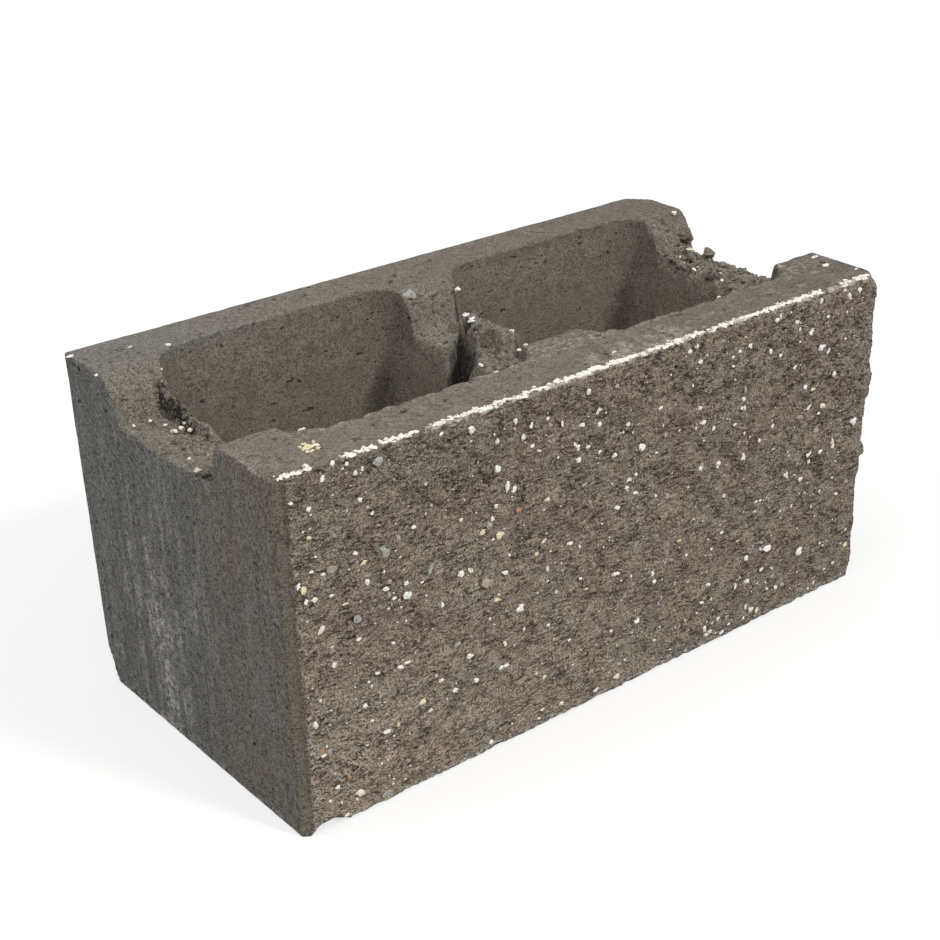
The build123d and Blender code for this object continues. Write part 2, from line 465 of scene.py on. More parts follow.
def block_mesh():
    """Both halves as one closed mesh in metres, with the masks that the finish reads."""
    points, crumbs, faces, caves, quads = [], [], [], [], []
    start = 0
    for side in (1, -1):
        x, y, z, crumb, face, hollow, quad = half_block(side)
        wide, fine = broken_face(x, z)
        near_top = 1 - 0.55 * smooth(z, height - 3, height)
        y = y - face * (wide + near_top * np.clip(fine, deepest_pit, highest_grain))
        # Painted shade and highlight: cave is low where the broken face's fine relief lies deep and in the
        # top's painted-shade hollows, and high where grains and crumbled rind stand out; the finish
        # darkens the low and lightens the high
        cave = face * fine - hollow
        ragged = 0.9 * shards(x, y, z, 4.2, 81)[0] + 0.8 * swell(x, y, z, 3.0, 83)
        rind = crumb * ragged
        inside_x = np.abs(x) - (core_left + core_right) / 2
        inside_y = y - (core_front + core_back) / 2
        outward = np.hypot(inside_x / 60, inside_y / 60) + 1e-6
        x = x + 0.55 * rind * inside_x / 60 / outward * np.sign(x)
        y = y + 0.55 * rind * inside_y / 60 / outward
        z = z + 0.45 * rind
        cave = cave + 0.6 * rind
        wall = (1 - face) * (1 - crumb) * band(z, 0, 3, height - 3, height)
        waver = wall * 0.22 * swell(x, y, z, 13.0, 85)
        x = x + waver * np.sign(x) * (np.abs(x) > 1)
        points.append(np.stack([x, y, z], -1).reshape(-1, 3))
        crumbs.append(crumb.ravel())
        faces.append(face.ravel())
        caves.append(cave.ravel())
        quads.append(quad.reshape(-1, 4) + start)
        start += x.size
    points = np.concatenate(points)
    cave = np.concatenate(caves)
    low_facing = [-1 / low_chip[0], 1 / low_chip[1], -1 / low_chip[2]]
    points, one = cut_off(points, [-half_length, back, low_chip[2]], low_facing, 0.5)
    points, two = cut_off(points, [half_length, back, height - top_chip[2]], 1 / np.array(top_chip), 0.4)
    corner_facing = [1, -1, 1]
    points, three = cut_off(points, [half_length - corner_break, front, height], corner_facing, 0.9)
    ball = points - [flake_from_end - half_length, front - flake_outside, -flake_outside]
    away = np.linalg.norm(ball, axis=1)
    ragged = flake_radius + 0.5 * swell(*points.T, 5.0, 93)
    flaked = away < ragged
    points = points + flaked[:, None] * ball * ((ragged - away) / away)[:, None]
    diagonal = (front - points[:, 1] - points[:, 2]) / math.sqrt(2) + 1.0
    diagonal = diagonal + 0.9 * swell(*points.T, 14.0, 91) + 0.8 * swell(*points.T, 4.0, 94)
    worn = np.clip(diagonal, 0, None) * (points[:, 1] < front + 8) * (points[:, 2] < 12) * ~flaked
    points[:, 1] += worn / math.sqrt(2)
    points[:, 2] += worn / math.sqrt(2)
    bare = np.clip(one + two + three, 0, 1) + flaked
    # cavity carries the painted shade and highlight of the relief to the finish
    masks = {"split": np.concatenate(faces), "crumble": np.concatenate(crumbs), "cavity": cave,
             "fresh": np.clip(bare, 0, 1)}
    return points / 1000, np.concatenate(quads), masks


block_triangles = 190000


def closed_piece(name, points, quads, masks, soft=True):
    """A mesh from arrays, with doubled points merged, faces turned outwards and masks as attributes."""
    mesh = bpy.data.meshes.new(name)
    mesh.vertices.add(len(points))
    mesh.vertices.foreach_set("co", points.ravel())
    mesh.loops.add(quads.size)
    mesh.loops.foreach_set("vertex_index", quads.ravel())
    mesh.polygons.add(len(quads))
    mesh.polygons.foreach_set("loop_start", np.arange(0, quads.size, quads.shape[1]))
    mesh.update(calc_edges=True)
    for label, values in masks.items():
        mesh.attributes.new(label, "FLOAT", "POINT").data.foreach_set("value", values.astype(np.float32))
    welded = bmesh.new()
    welded.from_mesh(mesh)
    bmesh.ops.remove_doubles(welded, verts=welded.verts, dist=1e-6)
    bmesh.ops.recalc_face_normals(welded, faces=welded.faces)
    welded.to_mesh(mesh)
    welded.free()
    mesh.polygons.foreach_set("use_smooth", np.full(len(mesh.polygons), soft))
    piece = bpy.data.objects.new(name, mesh)
    bpy.context.scene.collection.objects.link(piece)
    return piece


def thinned(piece, triangles):
    """The piece with its flat places made of fewer triangles, down to that many in all."""
    count = sum(len(face.vertices) - 2 for face in piece.data.polygons)
    thin = piece.modifiers.new("fewer_triangles", "DECIMATE")
    thin.ratio = min(1.0, triangles / count)
    settled = bpy.data.meshes.new_from_object(piece.evaluated_get(bpy.context.evaluated_depsgraph_get()))
    piece.modifiers.clear()
    piece.data = settled
    return piece


cast_block = thinned(closed_piece("cast_block", *block_mesh()), block_triangles)


class Wire:
    """One value in a material. Sums, products and powers of wires and numbers add their Math nodes."""

    def __init__(self, tree, socket=None):
        self.tree = tree
        self.socket = socket

    def node(self, kind, settings, values, output=0):
        """Adds a node: first its settings, a ramp's stops among them, then its inputs' values or wires."""
        made = self.tree.nodes.new(kind)
        for name, value in settings.items():
            if name == "stops":
                ramp = made.color_ramp.elements
                while len(ramp) < len(value):
                    ramp.new(0.5)
                for stop, (place, shade) in zip(ramp, value):
                    stop.position = place
                    stop.color = (*shade, 1) if np.ndim(shade) else (shade, shade, shade, 1)
            else:
                setattr(made, name, value)
        for name, value in values.items():
            if isinstance(value, Wire):
                self.tree.links.new(value.socket, made.inputs[name])
            else:
                made.inputs[name].default_value = value
        return Wire(self.tree, made.outputs[output])

    def math(self, operation, *values):
        return self.node("ShaderNodeMath", {"operation": operation}, dict(enumerate(values)))

    def __add__(self, other):
        return self.math("ADD", self, other)

    def __radd__(self, other):
        return self.math("ADD", other, self)

    def __sub__(self, other):
        return self.math("SUBTRACT", self, other)

    def __rsub__(self, other):
        return self.math("SUBTRACT", other, self)

    def __mul__(self, other):
        return self.math("MULTIPLY", self, other)

    def __rmul__(self, other):
        return self.math("MULTIPLY", other, self)

    def between(self, start, stop):
        """0 before start and 1 after stop, with a smooth rise."""
        return self.node("ShaderNodeMapRange", {"interpolation_type": "SMOOTHSTEP"},
                         {"Value": self, "From Min": start, "From Max": stop})

    def band(self, start, full, fade, stop):
        """1 from full to fade, and 0 before start and after stop."""
        return self.between(start, full) * (1 - self.between(fade, stop))

    def mix(self, first, second, blend="MIX"):
        """The first colour where this wire is 0, and the second one blended over it where it is 1."""
        values = {0: self, 6: first, 7: second}
        for slot, colour in values.items():
            if not isinstance(colour, Wire):
                values[slot] = (*colour, 1)
        return self.node("ShaderNodeMix", {"data_type": "RGBA", "blend_type": blend}, values, 2)


def grain(place, size, detail=3.0, rough=0.6, squeeze=None, output="Fac"):
    """Noise with features of that size in metres, stretched along an axis by squeezing its coordinates."""
    if squeeze is not None:
        place = place.node("ShaderNodeVectorMath", {"operation": "MULTIPLY"}, {0: place, 1: squeeze})
    values = {"Vector": place, "Scale": 1 / size, "Detail": detail, "Roughness": rough}
    return place.node("ShaderNodeTexNoise", {}, values, output)


def cells(place, size, output="Distance", feature="F1"):
    """Cells of that size in metres round random points: the distance to the point, the point's random
    colour, or with another feature the distance to the cell's edge."""
    values = {"Vector": place, "Scale": 1 / size}
    return place.node("ShaderNodeTexVoronoi", {"feature": feature}, values, output)


def new_finish(name, roughness, shine):
    """A new material, its shader and a wire to start from."""
    material = bpy.data.materials.new(name)
    material.use_nodes = True
    shader = material.node_tree.nodes["Principled BSDF"]
    shader.inputs["Roughness"].default_value = roughness
    shader.inputs["Specular IOR Level"].default_value = shine
    return material, shader, Wire(material.node_tree)


def dress(shader, colour, relief):
    """Leads a colour, and a relief in metres as bumps, to a shader."""
    bump = colour.node("ShaderNodeBump", {}, {"Strength": 1.0, "Distance": 1.0, "Height": relief})
    colour.tree.links.new(colour.socket, shader.inputs["Base Color"])
    colour.tree.links.new(bump.socket, shader.inputs["Normal"])


def concrete():
    """The block's finish: sand and cement paste with painted shade in the slits between grains, browner
    and coarser on the broken face, cool grey and streaked on the ends, scuffed on top, with lime bloom,
    painted shade in its voids and hollows, and painted light."""
    material, shader, start = new_finish("weathered_concrete", 0.93, 0.25)
    place = start.node("ShaderNodeTexCoord", {}, {}, "Object")
    x, y, z = (start.node("ShaderNodeSeparateXYZ", {}, {0: place}, axis) for axis in "XYZ")
    # cavity is the mesh's painted shade and highlight of its relief
    split, crumble, cavity, fresh = (start.node("ShaderNodeAttribute", {"attribute_name": name}, {}, "Fac")
                                     for name in ("split", "crumble", "cavity", "fresh"))
    half, face, bed = half_length / 1000, front / 1000, height / 1000

    # The two ends, the back, which is half as cool as they are, and the top
    left_end = 1 - x.between(0.0003 - half, 0.0012 - half)
    right_end = x.between(half - 0.0012, half - 0.0003)
    end_face = left_end.math("MAXIMUM", left_end, right_end)
    end_face = end_face.math("MAXIMUM", end_face, 0.5 * y.between(0.0956, 0.0965)) * (1 - split)
    top_bed = z.between(0.184, 0.191) * (1 - split)

    # Noises, each with the size of its features in metres
    cloud = grain(place, 0.035, 3, 0.55)
    patch = grain(place, 0.012, 3, 0.6)
    sand = grain(place, 0.0010, 2, 0.7)
    coarse = grain(place, 0.0034, 3, 0.65)
    slit = grain(place, 0.0018, 3, 0.6, (0.38, 0.5, 1.4))
    seam = grain(place, 0.0050, 4, 0.62, (0.45, 0.6, 1.5))
    pore = grain(place, 0.0046, 2, 0.55, (0.6, 0.7, 1.2))
    streak = grain(place, 0.006, 3, 0.6, (1.0, 1.0, 0.10))

    # The paste, the broken face and the cool ends
    paste = patch.between(0.35, 0.65).mix((0.176, 0.152, 0.124), (0.208, 0.184, 0.154))
    broken = cloud.between(0.38, 0.62).mix((0.268, 0.219, 0.178), (0.262, 0.229, 0.186))
    cool = streak.between(0.36, 0.64).mix((0.148, 0.144, 0.129), (0.196, 0.193, 0.179))
    colour = end_face.mix(paste, cool)
    colour = split.mix(colour, broken)

    # Lime washed down the left end, in its low corner and on its upper rim, and along the block's foot
    drift = y + 0.03 * cloud
    bloom = drift.band(0.026, 0.040, 0.042, 0.058) * (1 - z.between(0.06, 0.14))
    bloom = bloom + 0.5 * streak.between(0.45, 0.62) * y.band(-0.040, -0.01, 0.05, 0.08)
    corner = y.between(0.074, 0.086) * z.band(0.012, 0.020, 0.035, 0.05)
    bloom = (bloom + 0.7 * corner) * left_end * (1 - split) * (1 - z.between(0.10, 0.16))
    lime = patch.between(0.34, 0.66) * (0.25 + 0.75 * coarse.between(0.38, 0.60))
    rim = left_end * z.between(0.1905, 0.1925) * (1 - y.between(-0.058, -0.052))
    rim = rim * patch.between(0.45, 0.58)
    foot = (1 - z.between(0.0010, 0.0060)) * (patch * 0.5 + coarse * 0.5).between(0.42, 0.56)

    # Scuffs on the top, the cold back of it, the dark smooth bevel and the stained front of the end
    scuff = grain(place, 0.006, 4, 0.7, (0.45, 1.0, 1.0)).between(0.56, 0.68) * x.between(-0.03, 0.05)
    inner_rim = y.between(-0.0690, -0.0650) * x.between(-0.175, -0.150) * coarse.between(0.50, 0.60)
    smear = x.band(-0.025, 0.005, 0.045, 0.075) * (1 - y.between(-0.082, -0.072))
    smear = smear * (streak * 0.4 + patch * 0.3 + coarse * 0.3).between(0.44, 0.56)
    scuff = scuff.math("MAXIMUM", scuff, 0.8 * inner_rim) * top_bed * (1 - y.between(-0.055, -0.050))
    scuff = scuff.math("MAXIMUM", scuff, smear * top_bed)
    cold = top_bed * (1 - x.between(-0.16, -0.02)) * y.between(0.04, 0.07)
    bevel = (1 - x.between(-0.1935, -0.1925)) * (1 - y.between(face + 0.003, -0.0925))
    stain = end_face * (1 - y.between(-0.045, -0.01)) * cloud.between(0.3, 0.6)
    layers = [(crumble * 0.7, (0.205, 0.178, 0.148)), (bloom * lime * 0.95, (0.44, 0.43, 0.40)),
              (rim * 0.7, (0.42, 0.40, 0.36)), (foot * (0.45 + 0.30 * split), (0.44, 0.41, 0.36)),
              (scuff * 0.6, (0.42, 0.38, 0.33)), (cold * 0.7, (0.178, 0.171, 0.156)),
              (bevel * (1 - split) * 0.8, (0.165, 0.142, 0.115)), (stain * 0.75, (0.186, 0.160, 0.128))]
    for mask, shade in layers:
        colour = mask.mix(colour, shade)

    # Light and dark sand, then painted shade in the gaps between grains, in holes and in thin cracks
    loose = 0.50 + 0.24 * split + 0.16 * crumble + 0.14 * end_face
    light = (sand * 0.78 + coarse * 0.22).between(0.36, 0.64)
    tone = 1 + loose * (light * 1.7 - 0.85)
    crowd = 0.315 + 0.045 * patch.between(0.35, 0.65) + 0.03 * split + 0.02 * crumble + 0.01 * end_face
    gap = 1 - slit.between(crowd, crowd + 0.025)
    holed = 0.262 + 0.035 * end_face
    hole = (1 - pore.between(holed, holed + 0.02)) * (1 - 0.6 * split)
    thin = (1 - seam.math("ABSOLUTE", seam - 0.5).between(0.006, 0.042)) * coarse.between(0.40, 0.54)
    thin = thin * split * grain(place, 0.011, 2, 0.5).between(0.44, 0.56)
    tone = tone * (1 - gap * (0.50 + 0.22 * split)) * (1 - 0.76 * hole) * (1 - 0.72 * thin)
    # Painted shade in the hollows of the relief, down to a third, and a painted highlight on its raised
    # parts, from the cavity mask
    tone = tone * (0.34 + 0.66 * cavity.between(-2.3, -0.5)) * (1 + 0.12 * cavity.between(0.2, 1.4))

    # Painted shade in the voids between plates, in the cracks beside the left web and in one deep pit,
    # then painted light on the broken face and the core walls, and the top darker towards the right end
    comb = x.band(-0.1765, -0.1735, -0.1695, -0.1685) * z.between(0.166, 0.169)
    comb = comb * y.band(0.012, 0.018, 0.047, 0.054)
    bend = grain(place, 0.0025, 2, 0.5, output="Color")
    bent = start.node("ShaderNodeVectorMath", {"operation": "MULTIPLY_ADD"},
                      {0: bend, 1: (0.0035, 0.0035, 0.0035), 2: place})
    plate_edge = cells(bent, 0.0044, "Distance", "DISTANCE_TO_EDGE")
    comb = comb * (1 - plate_edge.between(0.03, 0.15))
    cracked = (1 - x.between(-0.172, -0.166)) * crumble * z.band(0.16, 0.168, 0.174, 0.178)
    cracked = cracked * (1 - plate_edge.between(0.01, 0.06)) * cloud.between(0.36, 0.50)
    pit_place = (-0.1937, -0.0290, 0.1703)
    pit = start.node("ShaderNodeVectorMath", {"operation": "DISTANCE"}, {0: place, 1: pit_place}, "Value")
    tone = tone * (1 - 0.85 * comb) * (1 - 0.65 * cracked) * (0.12 + 0.88 * pit.between(0.0022, 0.0034))
    # Painted light: the broken face brighter towards its foot and its left end, as the floor's bounce
    # light would make it; the top darker towards the right end
    tone = tone * (1 + split * (0.23 - 1.3 * z - 1.1 * x + 8.0 * x * z)) * (1 - top_bed * (0.09 + 0.5 * x))
    # Painted light on the core walls that face the left end, below their top, brightening them by about a
    # quarter
    lit_core_walls = x.band(-0.026, -0.0195, -0.0172, -0.0162) + x.between(0.155, 0.168)
    lit_core_walls = lit_core_walls * (1 - x.between(0.174, 0.176)) * y.band(-0.066, -0.062, 0.069, 0.073)
    tone = tone * (1 + 0.28 * lit_core_walls * (1 - z.between(0.160, 0.168)))
    tone = start.node("ShaderNodeCombineColor", {}, {0: tone, 1: tone, 2: tone})
    colour = start.node("ShaderNodeMix", {"data_type": "RGBA", "blend_type": "MULTIPLY"},
                        {0: 1.0, 6: colour, 7: tone}, 2)

    # Pale grains, the crushed front arris and fresh breaks
    body = 1 - cells(place, 0.0036).between(0.20, 0.34)
    pick = start.node("ShaderNodeSeparateColor", {}, {0: cells(place, 0.0036, "Color")}, 0)
    pale = body * pick.between(0.93, 0.94) * (0.2 + 0.6 * split + 0.2 * crumble)
    colour = (pale * 0.7).mix(colour, (0.44, 0.39, 0.31))
    front_arris = (1 - y.between(face + 0.001, face + 0.0040)) * z.between(bed - 0.0030, bed - 0.0008)
    crushed = front_arris * grain(place, 0.006, 4, 0.75).between(0.46, 0.54) * x.between(-0.199, -0.08)
    colour = (crushed * 0.75).mix(colour, (0.66, 0.64, 0.58))
    colour = (fresh * 0.25).mix(colour, (0.22, 0.200, 0.175))

    # Relief in metres
    ledge = grain(place, 0.0026, 3, 0.7, (0.42, 0.7, 1.1))
    relief = 0.0009 * sand * (0.5 + 0.5 * split) + 0.0010 * coarse * (0.25 + 0.3 * split + 0.7 * crumble)
    relief = relief + 0.0026 * ledge * split - (0.0005 + 0.0004 * end_face) * gap - 0.0010 * thin
    relief = relief - (0.0008 + 0.0008 * end_face) * hole
    dress(shader, colour, relief)
    return material


cast_block.data.materials.append(concrete())
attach(cast_block, "root")
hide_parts("split_face_block")

# Exposed stones. Crushed limestone and a few river pebbles from the mix, which the splitter broke free
# or cut through, so that they show as pale angular specks on the broken face and on the broken webs.
level_axis = np.array([1.0, 0.0, 0.0])
upright_axis = np.array([0.0, 0.0, 1.0])
back_axis = np.array([0.0, 1.0, 0.0])
white, cream, yellow, tan, grey, rust = 1.0, 0.8, 0.6, 0.4, 0.2, 0.0
stone_rings = 6
stone_sides = 8
deepest_dent = 0.60
highest_bulge = 1.40


def stone_mesh(name, places, sizes, leans, upward, tones, seed):
    """Small stones as one mesh. Each is a sphere of a few rings and sides with a random dent or bulge at
    every point but its poles, stretched to its size along X, along the upward axis and out of the surface,
    and then leaned in it."""
    rise = np.linspace(-np.pi / 2, np.pi / 2, stone_rings)[:, None]
    around = np.arange(stone_sides) * 2 * np.pi / stone_sides
    ball = np.stack(np.broadcast_arrays(np.cos(rise) * np.cos(around), np.cos(rise) * np.sin(around),
                                        np.sin(rise)), -1)
    chance = np.random.default_rng(seed).random((len(places), stone_rings, stone_sides, 1))
    chance[:, [0, -1]] = 0.5
    shape = ball * (deepest_dent + (highest_bulge - deepest_dent) * chance) * sizes[:, None, None] / 2
    lean = np.radians(leans)[:, None]
    wide = np.cos(lean) * level_axis + np.sin(lean) * upward
    tall = np.cos(lean) * upward - np.sin(lean) * level_axis
    points = places[:, None, None] + shape[..., :1] * wide[:, None, None]
    points = points + shape[..., 1:2] * tall[:, None, None] + shape[..., 2:] * np.cross(level_axis, upward)
    index = np.arange(points[..., 0].size).reshape(-1, stone_rings, stone_sides)
    beside = np.roll(index, -1, axis=2)
    quads = np.stack([index[:, :-1], beside[:, :-1], beside[:, 1:], index[:, 1:]], -1)
    masks = {"tone": np.repeat(tones, stone_rings * stone_sides)}
    return closed_piece(name, points.reshape(-1, 3) / 1000, quads.reshape(-1, 4), masks, soft=False)


def on_face(x, z):
    """Points on the broken face at those places along it and up it."""
    wide, fine = broken_face(x, z)
    return np.stack([x, front - wide - np.clip(fine, deepest_pit, highest_grain), z], -1)


# Each stone: its column and row in the picture, how many picture points it is across and tall, its lean in
# degrees where it has one, and its tone where it isn't white
face_stones_seen = [
    (332, 463.5, 5, 7, 10), (378, 461, 11, 9, 0, grey), (322, 479, 4, 8, -30), (342, 468, 3, 8, -20),
    (346, 464, 5, 4), (355, 473, 5, 7, 0, cream), (362, 469, 3, 6), (471, 430, 9, 9), (497, 468, 8, 9),
    (507, 486, 5, 11, -15), (497, 441, 6, 6), (515, 421, 5, 6), (562, 424, 3, 8), (582, 425, 6, 5),
    (599, 424, 5, 5), (613, 432, 5, 5), (641, 447, 8, 8), (599, 452, 5, 4), (578, 446, 6, 4),
    (588, 447, 5, 4), (532, 446, 5, 4), (628, 424, 5, 4), (660, 408, 7, 3, 20),
    (599, 409, 7, 5, 0, yellow), (666, 496, 7, 6, 0, grey), (499, 535, 11, 7, 0, yellow),
    (492, 519, 4, 5), (518, 510, 7, 6, 0, rust), (690, 351, 6, 5), (700, 361, 5, 5), (697, 346, 5, 4),
    (750, 346, 5, 5), (745, 334, 4, 14, 25), (777, 320, 6, 5), (780, 355, 5, 5), (821, 301, 5, 5),
    (828, 316, 5, 5), (812, 330, 5, 4), (859, 290, 5, 5), (821, 347, 9, 7), (794, 367, 6, 5),
    (787, 382, 8, 3, 15), (805, 387, 5, 5), (834, 374, 5, 5), (743, 399, 5, 5), (743, 408, 8, 7),
    (700, 408, 5, 5), (853, 421, 8, 7), (832, 446, 5, 5), (838, 441, 5, 4, 0, rust), (713, 428, 5, 5),
    (743, 457, 6, 7, -20), (718, 463, 6, 5), (700, 469, 5, 5), (808, 461, 5, 5), (800, 479, 5, 4),
    (785, 474, 5, 5), (815, 430, 7, 6, 0, grey), (822, 406, 7, 5, 0, yellow), (767, 549, 5, 5),
    (798, 551, 8, 9), (747, 581, 5, 4), (384, 550, 11, 13, 15, grey), (332, 569, 11, 8, 0, tan),
    (308, 509, 5, 7), (372, 513, 4, 4), (413, 527, 6, 4), (430, 570, 5, 13, -25, grey),
    (460, 574, 7, 7), (389, 582, 8, 6, 0, tan), (389, 594, 6, 6, 0, tan), (406, 583, 5, 4),
    (407, 595, 9, 9, -20), (298, 587, 6, 8), (306, 602, 5, 7), (314, 600, 6, 7),
    (357, 618, 9, 11, -10, grey), (321, 630, 6, 12, -35, cream), (345, 604, 7, 3, 0, cream),
    (486, 582, 12, 13, 0, tan), (520, 608, 9, 8), (470, 656, 6, 6), (501, 667, 5, 5), (476, 680, 6, 5),
    (455, 690, 5, 5), (360, 792, 9, 9, 0, cream), (386, 793, 9, 8, 0, grey), (349, 777, 5, 5, 0, rust),
    (321, 751, 6, 6, 0, rust), (334, 665, 6, 7, 0, cream), (750, 609, 8, 5, -20), (745, 607, 3, 7),
    (756, 610, 5, 6, 0, cream), (704, 629, 5, 7, 10), (706, 634, 7, 4, 0, cream),
    (616, 676, 7, 6, 0, cream), (595, 690, 8, 4, 10, cream), (561, 703, 6, 5, 0, cream),
    (766, 548, 11, 7), (746, 581, 10, 4), (735, 586, 3, 7, -10), (614, 574, 5, 5), (849, 295, 5, 7),
    (797, 322, 5, 5)]
# A stone is this share of what it spans in the picture, which blurs its edge
seen_share = 0.88
# The small ones: how many, how near they come to the ends and the beds, and their sizes
small_stones = 700
side_margin = 6
bed_margin = 3
small_stone_least = 0.8
small_stone_most = 3.4
stone_thickness = 0.5


def face_stones():
    """The stones of the broken face: those seen in the picture, then small ones strewn evenly with many
    more little ones than large, by a power of a random number."""
    seen = [stone + (0, white)[len(stone) - 4:] for stone in face_stones_seen]
    columns, rows, across, tall, leans, tones = np.array(seen).T
    level = front
    for _ in range(3):
        places, reach = sight(columns, rows, 1, level)
        level = on_face(places[:, 0], places[:, 2])[:, 1]
    wide = seen_share * span(across, reach, level_axis)
    high = seen_share * span(tall, reach, upright_axis)
    chance = np.random.default_rng(4).random((small_stones, 6))
    strewn = on_face((chance[:, 0] - 0.5) * 2 * (half_length - side_margin),
                     bed_margin + chance[:, 1] * (height - 2 * bed_margin))
    size = small_stone_least + (small_stone_most - small_stone_least) * chance[:, 2] ** 3.5
    stretch = 0.75 + 0.8 * chance[:, 3]
    shades = np.array([white, white, white, cream, white, yellow, tan, white, grey, white])
    wide = np.concatenate([wide, size * stretch])
    high = np.concatenate([high, size / stretch])
    thick = stone_thickness * np.minimum(wide, high)
    places = np.concatenate([places, strewn])
    places[:, 1] -= 0.12 * thick + 0.10
    leans = np.concatenate([leans, 50 * (chance[:, 4] - 0.5)])
    tones = np.concatenate([tones, shades[(chance[:, 5] * 10).astype(int)]])
    sizes = np.stack([wide, high, thick], -1)
    return stone_mesh("face_stones", places, sizes, leans, upright_axis, tones, 5)


def aggregate():
    """Crushed limestone and pebbles: each stone has one tone, mottled by fine noise."""
    material, shader, start = new_finish("pale_aggregate", 0.75, 0.5)
    place = start.node("ShaderNodeTexCoord", {}, {}, "Object")
    tone = start.node("ShaderNodeAttribute", {"attribute_name": "tone"}, {}, "Fac")
    stops = [(0.0, (0.46, 0.27, 0.15)), (0.2, (0.42, 0.415, 0.39)), (0.4, (0.42, 0.355, 0.28)),
             (0.6, (0.82, 0.75, 0.52)), (0.8, (0.86, 0.81, 0.70)), (1.0, (0.96, 0.95, 0.91))]
    colour = start.node("ShaderNodeValToRGB", {"stops": stops}, {0: tone}, "Color")
    mottle = 1 - grain(place, 0.0016, 3, 0.65).between(0.28, 0.46)
    colour = mottle.mix(colour, (0.66, 0.62, 0.56), "MULTIPLY")
    dress(shader, colour, 0.0005 * grain(place, 0.0012, 2, 0.6))
    return material


pale_aggregate = aggregate()
exposed_stones = face_stones()
exposed_stones.data.materials.append(pale_aggregate)
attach(exposed_stones, "root")

# Crushed ridge. Where the splitter's blade pressed on the top edge it ground the concrete to white grit,
# which clings to the front arris in a band and in loose clusters towards the left end.
# Where each stretch of grit starts and stops along the block, and how many grains it has
ridge_stretches = np.array([
    (-196, -178, 70), (-162, -153, 34), (-152, -143, 30), (-141, -120, 80), (-114, 95, 700),
    (-30, 10, 160), (90, 154, 330), (169, 178, 40), (181, 192, 70)])
ridge_width = 1.5
ridge_grit_least = 0.7
ridge_grit_most = 2.6


def ridge_grit():
    """Grit along the arris: evenly strewn along each stretch, and back from the edge by a half-normal
    distance."""
    chance = np.random.default_rng(7)
    starts, stops, counts = ridge_stretches.T
    pick = np.repeat(np.arange(len(starts)), counts)
    x = starts[pick] + (stops - starts)[pick] * chance.random(len(pick))
    x = x + 1.6 * swell(x, 0, 0, 5.0, 99)
    y = front + 0.4 + ridge_width * np.abs(chance.standard_normal(len(pick)))
    y = y + 0.9 * swell(x, 0, 0, 8.0, 95)
    z = height - 0.15 - 0.8 * smooth(front + 1.2 - y, 0, 1.2)
    size = ridge_grit_least + (ridge_grit_most - ridge_grit_least) * chance.random(len(pick)) ** 2.5
    stretch = 0.8 + 0.6 * chance.random(len(pick))
    sizes = np.stack([size * stretch, size / stretch, 0.5 * size], -1)
    tones = np.where(chance.random(len(pick)) < 0.7, white, cream)
    leans = 180 * chance.random(len(pick))
    return stone_mesh("crushed_ridge", np.stack([x, y, z], -1), sizes, leans, back_axis, tones, 8)


crushed_ridge = ridge_grit()
crushed_ridge.data.materials.append(pale_aggregate)
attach(crushed_ridge, "root")

# Web crumbs. Crumbs of sand and cement and small pebbles, which stick out of the webs where their tops
# were knocked off. Most are on the right web, with a few large lumps.
web_places = [(-half_length + 2, -core_right - 0.5), (-core_left + 1, core_left - 1),
              (core_right + 0.5, half_length - 2)]
web_crumb_count = 330
web_crumb_least = 1.0
web_crumb_most = 3.8
web_crumb_front = -42
web_crumb_reach = 92
calm_web_share = 0.25


def strewn_crumbs():
    """Crumbs on the knocked-down webs: evenly strewn in plan on each web, standing on its broken top."""
    chance = np.random.default_rng(9).random((len(web_places), web_crumb_count, 7))
    low_x, high_x = np.array(web_places).T[..., None]
    x = low_x + (high_x - low_x) * chance[..., 0]
    y = web_crumb_front + web_crumb_reach * chance[..., 1]
    kept = (chance[..., 6] < calm_web_share) | (low_x > 0)
    size = web_crumb_least + (web_crumb_most - web_crumb_least) * chance[..., 2] ** 3
    stretch = 0.85 + 0.4 * chance[..., 3]
    sizes = np.stack([size * stretch, size / stretch, 0.8 * size], -1)
    places = np.stack([x, y, top(x, y)[0] + 0.05 * size], -1)
    return places[kept], sizes[kept], 180 * chance[..., 4][kept], chance[..., 5][kept]


# Each large crumb: its place, and its size along the block, across it and up
large_crumbs = np.array([
    (193, 28.5, 172.8, 8.4, 8, 8), (192.5, 49.5, 180.5, 9, 13, 10), (183, 33, 172, 6, 7, 5),
    (176, 8, 171.5, 7, 6, 5), (190, 14, 170.5, 6, 5, 4), (172, 24, 170.5, 6, 7, 5),
    (181, -6, 170.5, 6, 8, 4.5), (194.5, 0, 169.5, 5, 7, 4), (170.5, 36, 173.5, 6, 6, 5)])
crumb_places, crumb_sizes, crumb_leans, crumb_luck = strewn_crumbs()
pale_share = 0.07
pale = crumb_luck > 1 - pale_share
web_crumbs = stone_mesh("web_crumbs", np.concatenate([crumb_places[~pale], large_crumbs[:, :3]]),
                        np.concatenate([crumb_sizes[~pale], large_crumbs[:, 3:]]),
                        np.concatenate([crumb_leans[~pale], 0 * large_crumbs[:, 0]]), back_axis,
                        np.zeros((~pale).sum() + len(large_crumbs)), 10)
web_crumbs.data.materials.append(cast_block.data.materials[0])
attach(web_crumbs, "root")

